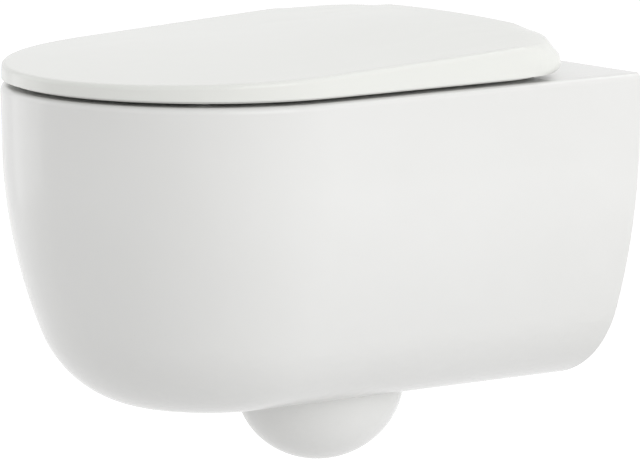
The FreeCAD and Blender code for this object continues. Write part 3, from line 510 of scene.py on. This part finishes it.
def turnedMesh(name, profile, axis, middle, segments):
    mesh = bpy.data.meshes.new(name)
    work = bmesh.new()
    nearest = turnedSettings["mergeDistance"]
    rings = []
    for radius, along in profile:
        ring = []
        for step in range(segments):
            angle = 2 * math.pi * step / segments
            local = (radius * math.cos(angle), radius * math.sin(angle), along)
            point = Vector([local[k] for k in axisOrder[axis]])
            for k in range(3):
                if axisOrder[axis][k] != 2:
                    point[k] += middle[k]
            ring.append(work.verts.new(point))
        rings.append(ring)
    for ring, following in zip(rings, rings[1:] + rings[:1]):
        for step in range(segments):
            beside = (step + 1) % segments
            work.faces.new((ring[step], ring[beside], following[beside], following[step]))
    bmesh.ops.remove_doubles(work, verts=work.verts, dist=nearest)
    bmesh.ops.dissolve_degenerate(work, edges=work.edges, dist=nearest)
    bmesh.ops.recalc_face_normals(work, faces=work.faces)
    work.to_mesh(mesh)
    work.free()
    return mesh


def makeTurned(node, axis, profile, reach=math.inf):
    middle, radius, start, end = spanOf(node, axis, reach)
    name = camelName(node, "Turned")
    mesh = turnedMesh(name, profile(radius, start, end), axis, middle, turnedSettings["segments"])
    shadeByAngle(mesh, turnedSettings["creaseAngle"])
    return newPiece(name, mesh)


def tubeProfile(radius, bore, start, end, chamfer):
    # tube with chamfered outer ends
    return [(bore, start), (radius - chamfer, start), (radius, start + chamfer), (radius, end - chamfer),
            (radius - chamfer, end), (bore, end)]


def barProfile(radius, start, end, chamfer):
    # solid bar, closed on its axis at both ends
    return [(0.0, start), (radius - chamfer, start), (radius, start + chamfer), (radius, end - chamfer),
            (radius - chamfer, end), (0.0, end)]


# what repeats on these pieces is made by Geometry Nodes, joined to the turned mesh they are given
def newNodeTree(name, inputs):
    tree = bpy.data.node_groups.new(name, "GeometryNodeTree")
    tree.interface.new_socket(name="Geometry", in_out="INPUT", socket_type="NodeSocketGeometry")
    identifiers = {}
    for label, value in inputs.items():
        kind = {int: "Int", float: "Float", tuple: "Vector"}.get(type(value), value)
        socket = tree.interface.new_socket(name=label, in_out="INPUT", socket_type="NodeSocket" + kind)
        if kind != value:
            socket.default_value = value
        identifiers[label] = socket.identifier
    tree.interface.new_socket(name="Geometry", in_out="OUTPUT", socket_type="NodeSocketGeometry")
    return tree, tree.nodes.new("NodeGroupInput"), tree.nodes.new("NodeGroupOutput"), identifiers


def addNode(tree, kind, links=None, **values):
    node = tree.nodes.new(kind)
    for label, value in values.items():
        label = label.replace("_", " ")
        if hasattr(node, label) and label not in node.inputs:
            setattr(node, label, value)
        else:
            node.inputs[label].default_value = value
    for label, source in (links or {}).items():
        tree.links.new(source, node.inputs[label])
    return node


def finishTree(tree, source, result, made):
    # the made geometry becomes plain mesh and takes the piece's finish
    plain = addNode(tree, "GeometryNodeRealizeInstances", {"Geometry": made})
    finish = addNode(tree, "GeometryNodeSetMaterial", {"Geometry": plain.outputs[0],
                                                       "Material": source.outputs["Finish"]})
    tree.links.new(finish.outputs[0], result.inputs["Geometry"])


def joinTree(tree, source, result, made):
    # the made geometry joins what came in
    join = tree.nodes.new("GeometryNodeJoinGeometry")
    tree.links.new(made, join.inputs[0])
    tree.links.new(source.outputs["Geometry"], join.inputs[0])
    finishTree(tree, source, result, join.outputs[0])


def makeThreadTree():
    # one screw thread: a small diamond swept along a helix
    tree, source, result, identifiers = newNodeTree(
        "screwThread", {"Pitch Radius": 0.003, "Ridge": 0.0004, "Turns": 10.0, "Height": 0.01,
                        "Base": (0.0, 0.0, 0.0), "Finish": "Material"})
    helix = addNode(tree, "GeometryNodeCurveSpiral", {
        "Rotations": source.outputs["Turns"], "Start Radius": source.outputs["Pitch Radius"],
        "End Radius": source.outputs["Pitch Radius"], "Height": source.outputs["Height"]}, Resolution=40)
    upright = addNode(tree, "GeometryNodeSetCurveNormal", {"Curve": helix.outputs[0]}, mode="Z_UP")
    diamond = addNode(tree, "GeometryNodeCurvePrimitiveCircle", {"Radius": source.outputs["Ridge"]},
                      Resolution=4)
    ridge = addNode(tree, "GeometryNodeCurveToMesh", {"Curve": upright.outputs[0],
                                                      "Profile Curve": diamond.outputs[0]}, Fill_Caps=True)
    seated = addNode(tree, "GeometryNodeTransform", {"Geometry": ridge.outputs[0],
                                                     "Translation": source.outputs["Base"]})
    joinTree(tree, source, result, seated.outputs[0])
    return tree, identifiers


def makeRingTree():
    # equal rings spaced along Z
    tree, source, result, identifiers = newNodeTree(
        "ringRow", {"Radius": 0.007, "Ridge": 0.0006, "Count": 6, "Spacing": 0.004,
                    "Base": (0.0, 0.0, 0.0), "Finish": "Material"})
    step = addNode(tree, "ShaderNodeCombineXYZ", {"Z": source.outputs["Spacing"]})
    places = addNode(tree, "GeometryNodeMeshLine", {"Count": source.outputs["Count"],
                                                    "Start Location": source.outputs["Base"],
                                                    "Offset": step.outputs[0]}, mode="OFFSET")
    hoop = addNode(tree, "GeometryNodeCurvePrimitiveCircle", {"Radius": source.outputs["Radius"]},
                   Resolution=56)
    section = addNode(tree, "GeometryNodeCurvePrimitiveCircle", {"Radius": source.outputs["Ridge"]},
                      Resolution=10)
    ring = addNode(tree, "GeometryNodeCurveToMesh", {"Curve": hoop.outputs[0],
                                                     "Profile Curve": section.outputs[0]})
    row = addNode(tree, "GeometryNodeInstanceOnPoints", {"Points": places.outputs["Mesh"],
                                                         "Instance": ring.outputs[0]})
    joinTree(tree, source, result, row.outputs[0])
    return tree, identifiers


def makeSplineTree():
    # equal bars set round an axis, which Turn lays over
    tree, source, result, identifiers = newNodeTree(
        "splineCrown", {"Radius": 0.007, "Bar Radius": 0.0005, "Bar Length": 0.03, "Count": 12,
                        "Turn": (0.0, 0.0, 0.0), "Base": (0.0, 0.0, 0.0), "Finish": "Material"})
    places = addNode(tree, "GeometryNodeMeshCircle", {"Vertices": source.outputs["Count"],
                                                      "Radius": source.outputs["Radius"]})
    bar = addNode(tree, "GeometryNodeMeshCylinder", {"Radius": source.outputs["Bar Radius"],
                                                     "Depth": source.outputs["Bar Length"]}, Vertices=10)
    crown = addNode(tree, "GeometryNodeInstanceOnPoints", {"Points": places.outputs["Mesh"],
                                                           "Instance": bar.outputs["Mesh"]})
    seated = addNode(tree, "GeometryNodeTransform", {"Geometry": crown.outputs[0],
                                                     "Translation": source.outputs["Base"],
                                                     "Rotation": source.outputs["Turn"]})
    joinTree(tree, source, result, seated.outputs[0])
    return tree, identifiers


def makeFootTree():
    # the same foot on every point of the mesh that comes in
    tree, source, result, identifiers = newNodeTree(
        "feetOnPoints", {"Pattern": "Object", "Finish": "Material"})
    pattern = addNode(tree, "GeometryNodeObjectInfo", {"Object": source.outputs["Pattern"]})
    feet = addNode(tree, "GeometryNodeInstanceOnPoints", {"Points": source.outputs["Geometry"],
                                                          "Instance": pattern.outputs["Geometry"]})
    finishTree(tree, source, result, feet.outputs[0])
    return tree, identifiers


threadTree, threadInputs = makeThreadTree()
ringTree, ringInputs = makeRingTree()
splineTree, splineInputs = makeSplineTree()
footTree, footInputs = makeFootTree()


def growDetail(piece, node, tree, identifiers, **values):
    detail = piece.modifiers.new("repeatedDetail", "NODES")
    detail.node_group = tree
    detail[identifiers["Finish"]] = finishOf(node)
    for label, value in values.items():
        detail[identifiers[label.replace("_", " ")]] = value
    applyModifiers(piece)
    shadeByAngle(piece.data, turnedSettings["creaseAngle"])


print("turning and repeating tools ready")


# hinge posts: a rounded barrel on a straight neck, pushed out across and softly bevelled
postSettings = {
    "nodes": ("right_hinge_post", "left_hinge_post"),
    "neckWidth": 0.015,
    "barrelRadius": 0.009,
    "arcSteps": 28,
    "bevelWidth": 0.0009,
    "bevelSegments": 3,
    "bevelAngle": 40.0,
}


def makePost(node, settings):
    low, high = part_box(node)
    radius, half = settings["barrelRadius"], settings["neckWidth"] / 2
    axisY, axisZ = hingeSettings["axis"]
    lean = math.acos(half / radius)
    outline = [(axisY - half, low.z), (axisY + half, low.z)]
    for step in range(settings["arcSteps"] + 1):
        angle = -lean + (math.pi + 2 * lean) * step / settings["arcSteps"]
        outline.append((axisY + radius * math.cos(angle), axisZ + radius * math.sin(angle)))
    mesh = bpy.data.meshes.new(camelName(node, "Cast"))
    work = bmesh.new()
    near, far = [[work.verts.new((x, y, z)) for y, z in outline] for x in (low.x, high.x)]
    work.faces.new(near)
    work.faces.new(far)
    for step in range(len(outline)):
        after = (step + 1) % len(outline)
        work.faces.new((near[step], near[after], far[after], far[step]))
    bmesh.ops.recalc_face_normals(work, faces=work.faces)
    work.to_mesh(mesh)
    work.free()
    piece = newPiece(camelName(node, "Cast"), mesh)
    soft = piece.modifiers.new("castEdges", "BEVEL")
    soft.width, soft.segments = settings["bevelWidth"], settings["bevelSegments"]
    soft.limit_method, soft.angle_limit = "ANGLE", math.radians(settings["bevelAngle"])
    applyModifiers(piece)
    shadeByAngle(piece.data, turnedSettings["creaseAngle"])
    return piece


for node in postSettings["nodes"]:
    attachPiece(makePost(node, postSettings), node)
print("hinge posts ready")


# rosettes under the posts: a disc with a rolled edge and a fine turned groove
rosetteSettings = {
    "nodes": ("right_rosette", "left_rosette"),
    "bore": 0.003,
    "edgeRound": 0.0015,
    "edgeSteps": 6,
    "grooveAt": 0.0148,   # radius of the groove
    "grooveWidth": 0.0006,
    "grooveDepth": 0.0003,
}


def rosetteProfile(radius, start, end):
    soft, steps = rosetteSettings["edgeRound"], rosetteSettings["edgeSteps"]
    groove, width = rosetteSettings["grooveAt"], rosetteSettings["grooveWidth"]
    profile = [(rosetteSettings["bore"], start), (radius, start)]
    for step in range(steps + 1):
        angle = math.pi / 2 * step / steps
        profile.append((radius - soft + soft * math.cos(angle), end - soft + soft * math.sin(angle)))
    return profile + [(groove + width, end), (groove, end - rosetteSettings["grooveDepth"]),
                      (groove - width, end), (rosetteSettings["bore"], end)]


for node in rosetteSettings["nodes"]:
    attachPiece(makeTurned(node, "Z", rosetteProfile), node)
print("rosettes ready")


# soft rubber gaskets between rosettes and deck
gasketSettings = {"nodes": ("right_gasket", "left_gasket"), "bore": 0.003, "chamfer": 0.0003}
for node in gasketSettings["nodes"]:
    attachPiece(makeTurned(node, "Z", lambda radius, start, end: tubeProfile(
        radius, gasketSettings["bore"], start, end, gasketSettings["chamfer"])), node)
print("gaskets ready")


# threaded studs, down through the deck
studSettings = {
    "nodes": ("right_stud", "left_stud"),
    "pitch": 0.001,
    "ridge": 0.00045,
    "coreDepth": 1.5,   # from the crest of the thread, in ridges
    "chamfer": 0.0006,
}


def coreRadius(crest, settings):
    return crest - settings["coreDepth"] * settings["ridge"]


def growThread(piece, node, settings, crest, start, end):
    # thread between two heights, its crest at the given radius, round the piece's own middle
    middle, ridge = spanOf(node, "Z")[0], settings["ridge"]
    height = end - start - 2 * ridge
    growDetail(piece, node, threadTree, threadInputs, Pitch_Radius=crest - ridge, Ridge=ridge,
               Turns=height / settings["pitch"], Height=height, Base=(middle.x, middle.y, start + ridge))


for node in studSettings["nodes"]:
    stud = makeTurned(node, "Z", lambda radius, start, end: barProfile(
        coreRadius(radius, studSettings), start, end, studSettings["chamfer"]))
    growThread(stud, node, studSettings, *spanOf(node, "Z")[1:])
    attachPiece(stud, node)
print("studs ready")


# expansion plugs: ribbed rubber sleeves that spread under the deck
plugSettings = {
    "nodes": ("right_expansion_plug", "left_expansion_plug"),
    "bore": 0.003,
    "rib": 0.0007,
    "ribCount": 9,
    "chamfer": 0.0008,
}


def makePlug(node, settings):
    middle, radius, start, end = spanOf(node, "Z")
    rib, count = settings["rib"], settings["ribCount"]
    plug = makeTurned(node, "Z", lambda radius, start, end: tubeProfile(
        radius - rib, settings["bore"], start, end, settings["chamfer"]))
    spacing = (end - start) / (count + 1)
    growDetail(plug, node, ringTree, ringInputs, Radius=radius - rib, Ridge=rib, Count=count,
               Spacing=spacing, Base=(middle.x, middle.y, start + spacing))
    return plug


for node in plugSettings["nodes"]:
    attachPiece(makePlug(node, plugSettings), node)
print("expansion plugs ready")


# cone nuts that draw up into the plugs
nutSettings = {
    "nodes": ("right_cone_nut", "left_cone_nut"),
    "bore": 0.003,
    "taper": 0.0015,
    "chamfer": 0.0005,
    "grooves": 3,
    "grooveShape": ((0.15, 0.0), (0.5, 0.00035), (0.85, 0.0)),   # share of a groove's length, depth
}


def nutProfile(radius, start, end):
    chamfer, taper, grooves = nutSettings["chamfer"], nutSettings["taper"], nutSettings["grooves"]
    profile = [(nutSettings["bore"], start), (radius - taper - chamfer, start)]
    for groove in range(grooves):
        for share, depth in nutSettings["grooveShape"]:
            way = (groove + share) / grooves
            profile.append((radius - taper * (1 - way) - depth, start + way * (end - start)))
    return profile + [(radius - chamfer, end), (nutSettings["bore"], end)]


for node in nutSettings["nodes"]:
    attachPiece(makeTurned(node, "Z", nutProfile), node)
print("cone nuts ready")


# hinge pins across posts and knuckles
pinSettings = {"nodes": ("right_hinge_pin", "left_hinge_pin"), "chamfer": 0.0006}
pinReach = hingeSettings["knuckleEnd"] + hingeSettings["pinOverlap"]
for node in pinSettings["nodes"]:
    attachPiece(makeTurned(node, "X", lambda radius, start, end: barProfile(
        radius, start, end, pinSettings["chamfer"]), pinReach), node)
print("hinge pins ready")


# plain bushings in the knuckles, with two grease grooves each
bushingSettings = {
    "nodes": ("lid_bushing", "seat_bushing"),
    "bore": 0.00405,
    "chamfer": 0.0004,
    "grooveWidth": 0.0008,
    "grooveDepth": 0.0003,
    "grooveAt": (0.3, 0.7),
}


def bushingProfile(radius, start, end):
    chamfer, width = bushingSettings["chamfer"], bushingSettings["grooveWidth"]
    deep = radius - bushingSettings["grooveDepth"]
    profile = [(bushingSettings["bore"], start), (radius - chamfer, start), (radius, start + chamfer)]
    for share in bushingSettings["grooveAt"]:
        middle = start + share * (end - start)
        profile += [(radius, middle - width), (deep, middle - width / 2), (deep, middle + width / 2),
                    (radius, middle + width)]
    return profile + [(radius, end - chamfer), (radius - chamfer, end), (bushingSettings["bore"], end)]


for node in bushingSettings["nodes"]:
    attachPiece(makeTurned(node, "X", bushingProfile, hingeSettings["knuckleEnd"]), node)
print("bushings ready")


# soft-close dampers: dark sleeves with smooth collars and a crown of splines between them
damperSettings = {
    "nodes": ("seat_damper", "lid_damper"),
    "bore": 0.00405,
    "chamfer": 0.0004,
    "collar": 0.003,
    "barRadius": 0.0005,
    "barCount": 18,
}


def damperProfile(radius, start, end):
    chamfer, collar, bore = damperSettings["chamfer"], damperSettings["collar"], damperSettings["bore"]
    inner = radius - damperSettings["barRadius"]
    return [(bore, start), (radius - chamfer, start), (radius, start + chamfer), (radius, start + collar),
            (inner, start + collar), (inner, end - collar), (radius, end - collar), (radius, end - chamfer),
            (radius - chamfer, end), (bore, end)]


def seatedRadius(node, radius):
    # the seat's own cartridge is as slim as the knuckle round it
    return slimRadius(radius, hingeSettings) if node == "seat_damper" else radius


def makeDamper(node, settings):
    reach, bar = hingeSettings["knuckleEnd"], settings["barRadius"]
    middle, radius, start, end = spanOf(node, "X", reach)
    damper = makeTurned(node, "X", lambda radius, start, end: damperProfile(
        seatedRadius(node, radius), start, end), reach)
    growDetail(damper, node, splineTree, splineInputs, Radius=seatedRadius(node, radius) - bar,
               Bar_Radius=bar, Bar_Length=end - start - 2 * settings["collar"],
               Count=settings["barCount"], Turn=(0.0, math.pi / 2, 0.0), Base=tuple(middle))
    return damper


for node in damperSettings["nodes"]:
    attachPiece(makeDamper(node, damperSettings), node)
print("dampers ready")


# wall fixing blocks: thick steel sleeves in the rear bosses
blockSettings = {
    "nodes": ("right_fixing_block", "left_fixing_block"),
    "bore": 0.0065,
    "chamfer": 0.0008,
    "boreChamfer": 0.0008,
}


def blockProfile(radius, start, end):
    chamfer, bore, lead = blockSettings["chamfer"], blockSettings["bore"], blockSettings["boreChamfer"]
    return [(bore, start + lead), (bore + lead, start), (radius - chamfer, start), (radius, start + chamfer),
            (radius, end - chamfer), (radius - chamfer, end), (bore + lead, end), (bore, end - lead)]


for node in blockSettings["nodes"]:
    attachPiece(makeTurned(node, "Y", blockProfile), node)
print("fixing blocks ready")


# clamp screws: a chamfered six-sided head under a threaded shank
clampSettings = {
    "nodes": ("right_clamp_screw", "left_clamp_screw"),
    "shankRadius": 0.004,
    "headHeight": 0.006,
    "headSides": 6,
    "headChamfer": 0.0006,
    "pitch": 0.00125,
    "ridge": 0.00055,
    "coreDepth": 1.5,
    "chamfer": 0.0008,
}


def makeClampScrew(node, settings):
    middle, corner, start, end = spanOf(node, "Z")
    neck, crest, soft = start + settings["headHeight"], settings["shankRadius"], settings["chamfer"]
    shank = barProfile(coreRadius(crest, settings), neck - soft, end, soft)
    mesh = turnedMesh(camelName(node, "Turned"), shank, "Z", middle, turnedSettings["segments"])
    work = bmesh.new()
    work.from_mesh(mesh)
    chamfer, count = settings["headChamfer"], settings["headSides"]
    rings = []
    for radius, height in ((corner - chamfer, start), (corner, start + chamfer), (corner, neck - chamfer),
                           (corner - chamfer, neck)):
        angles = [2 * math.pi * step / count for step in range(count)]
        rings.append([work.verts.new((middle.x + radius * math.cos(angle),
                                      middle.y + radius * math.sin(angle), height)) for angle in angles])
    ends = [work.faces.new(list(reversed(rings[0]))), work.faces.new(rings[-1])]
    sides = []
    for lower, upper in zip(rings, rings[1:]):
        for step in range(count):
            beside = (step + 1) % count
            sides.append(work.faces.new((lower[step], lower[beside], upper[beside], upper[step])))
    bmesh.ops.recalc_face_normals(work, faces=ends + sides)
    work.to_mesh(mesh)
    work.free()
    piece = newPiece(camelName(node, "Turned"), mesh)
    growThread(piece, node, settings, crest, neck, end)
    return piece


for node in clampSettings["nodes"]:
    attachPiece(makeClampScrew(node, clampSettings), node)
print("clamp screws ready")


# rubber feet under the seat ring, one pattern on four points
footSettings = {
    "node": "seat_bumpers",
    "radius": 0.008,
    "spots": ((0.118, -0.445), (0.145, -0.150)),   # right side, mirrored to the left
    "edgeRound": 0.0007,
    "dishRadius": 0.0045,
    "dishDepth": 0.0005,
    "segments": 48,
}


def makeFeet(settings):
    low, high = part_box(settings["node"])
    base, hollow, top = low.z, low.z + settings["dishDepth"], high.z
    radius, soft, dish = settings["radius"], settings["edgeRound"], settings["dishRadius"]
    profile = [(0.0, hollow), (dish - soft, hollow), (dish, base), (radius - soft, base),
               (radius, base + soft), (radius, top), (0.0, top)]
    foot = turnedMesh("footPattern", profile, "Z", Vector(), settings["segments"])
    pattern = newPiece("footPattern", foot)
    mesh = bpy.data.meshes.new("seatFeet")
    mesh.from_pydata([(side * x, y, 0.0) for x, y in settings["spots"] for side in (1, -1)], [], [])
    piece = newPiece("seatFeet", mesh)
    growDetail(piece, settings["node"], footTree, footInputs, Pattern=pattern)
    bpy.data.objects.remove(pattern)
    return piece


attachPiece(makeFeet(footSettings), footSettings["node"])
print("seat feet ready")


# pale floor, soft lamps and an even world; floor and world look white to the camera and in reflections
pureWhite = (1.0, 1.0, 1.0, 1.0)
studioSettings = {
    "floorHeight": -0.85,
    "floorSize": 40.0,
    "floorTones": ((0.75, 0.75, 0.75, 1.0), (0.78, 0.78, 0.78, 1.0)),
    "floorCloudScale": 1.5,
    "floorCloudDetail": 3.0,
    "floorRoughness": 0.7,
    "floorGlint": 0.2,
    "floorGlow": (0.34, 0.52),   # white added for the camera: near the pan, where its shadow falls, and far
    "glowReach": (1.2, 4.0),     # metres from the pan that count as near and far
    "worldStrength": 0.70,
    "lampsWithoutGlare": ("wallSideLamp",),   # seen from the other side, it would glare on the lid
    "lamps": {
        # place, aims at, width, height, watts
        "keyLamp": ((3.4, -0.6, 1.5), (0.0, -0.25, -0.05), 2.4, 2.4, 23.0),
        "frontLamp": ((1.2, -3.4, 1.2), (0.0, -0.3, -0.05), 2.4, 2.4, 5.0),
        "leftLamp": ((-3.2, -1.6, 0.6), (-0.1, -0.4, -0.05), 2.2, 3.2, 12.5),
        "wallSideLamp": ((3.0, 1.6, 0.8), (0.1, -0.2, -0.05), 2.0, 2.4, 29.5),
        "edgeLamp": ((0.5, 2.2, 2.8), (0.1, -0.25, 0.05), 2.0, 0.35, 6.0),   # lines along soft edges
    },
}


def makeLamp(name, place, target, width, height, watts):
    data = bpy.data.lights.new(name, "AREA")
    data.shape, data.size, data.size_y, data.energy = "RECTANGLE", width, height, watts
    lamp = bpy.data.objects.new(name, data)
    scene.collection.objects.link(lamp)
    lamp.location = place
    lamp.rotation_euler = (Vector(target) - Vector(place)).to_track_quat("-Z", "Y").to_euler()
    lamp.visible_camera = False
    lamp.visible_glossy = name not in studioSettings["lampsWithoutGlare"]


def seenDirectly(tree):
    # 1 for rays that come from the camera, a mirror or clear glass
    path = tree.nodes.new("ShaderNodeLightPath")
    bounced = addMath(tree, "MAXIMUM", path.outputs["Is Glossy Ray"], path.outputs["Is Transmission Ray"])
    return addMath(tree, "MAXIMUM", path.outputs["Is Camera Ray"], bounced)


def mixInto(output, tree, factor, first, second):
    mix = tree.nodes.new("ShaderNodeMixShader")
    for socket, value in zip(mix.inputs, (factor, first.outputs[0], second.outputs[0])):
        tree.links.new(value, socket)
    tree.links.new(mix.outputs[0], output.inputs["Surface"])


def makeWorld(settings):
    world = bpy.data.worlds.new("studioWorld")
    world.use_nodes = True
    tree = world.node_tree
    plain = tree.nodes["Background"]
    plain.inputs["Color"].default_value = pureWhite
    plain.inputs["Strength"].default_value = settings["worldStrength"]
    white = tree.nodes.new("ShaderNodeBackground")
    white.inputs["Color"].default_value = pureWhite
    white.inputs["Strength"].default_value = 1.0
    mixInto(tree.nodes["World Output"], tree, seenDirectly(tree), plain, white)
    scene.world = world


def makeFloor(settings):
    mesh = bpy.data.meshes.new("studioFloor")
    reach, height = settings["floorSize"], settings["floorHeight"]
    corners = [(-reach, -reach, height), (reach, -reach, height), (reach, reach, height),
               (-reach, reach, height)]
    mesh.from_pydata(corners, [], [(0, 1, 2, 3)])
    floor = newPiece("studioFloor", mesh)
    material = bpy.data.materials.new("paleFloor")
    material.use_nodes = True
    tree = material.node_tree
    shader = tree.nodes["Principled BSDF"]
    shader.inputs["Roughness"].default_value = settings["floorRoughness"]
    shader.inputs["Specular IOR Level"].default_value = settings["floorGlint"]
    place = tree.nodes.new("ShaderNodeTexCoord").outputs["Object"]
    clouds = addNoise(tree, place, settings["floorCloudScale"], settings["floorCloudDetail"])
    tree.links.new(mixColours(tree, clouds, *settings["floorTones"]), shader.inputs["Base Color"])
    length = tree.nodes.new("ShaderNodeVectorMath")
    length.operation = "LENGTH"
    tree.links.new(place, length.inputs[0])
    glow = addRange(tree, length.outputs["Value"], *settings["glowReach"], *settings["floorGlow"])
    shader.inputs["Emission Color"].default_value = pureWhite
    tree.links.new(addMath(tree, "MULTIPLY", glow, seenDirectly(tree)), shader.inputs["Emission Strength"])
    # looked at from below, the floor lets the view through to the underside of the pan
    clear = tree.nodes.new("ShaderNodeBsdfTransparent")
    below = tree.nodes.new("ShaderNodeNewGeometry").outputs["Backfacing"]
    mixInto(tree.nodes["Material Output"], tree, addMath(tree, "MULTIPLY", below, seenDirectly(tree)),
            shader, clear)
    mesh.materials.append(material)


for lampName, lampSettings in studioSettings["lamps"].items():
    makeLamp(lampName, *lampSettings)
makeWorld(studioSettings)
makeFloor(studioSettings)
print("studio ready")
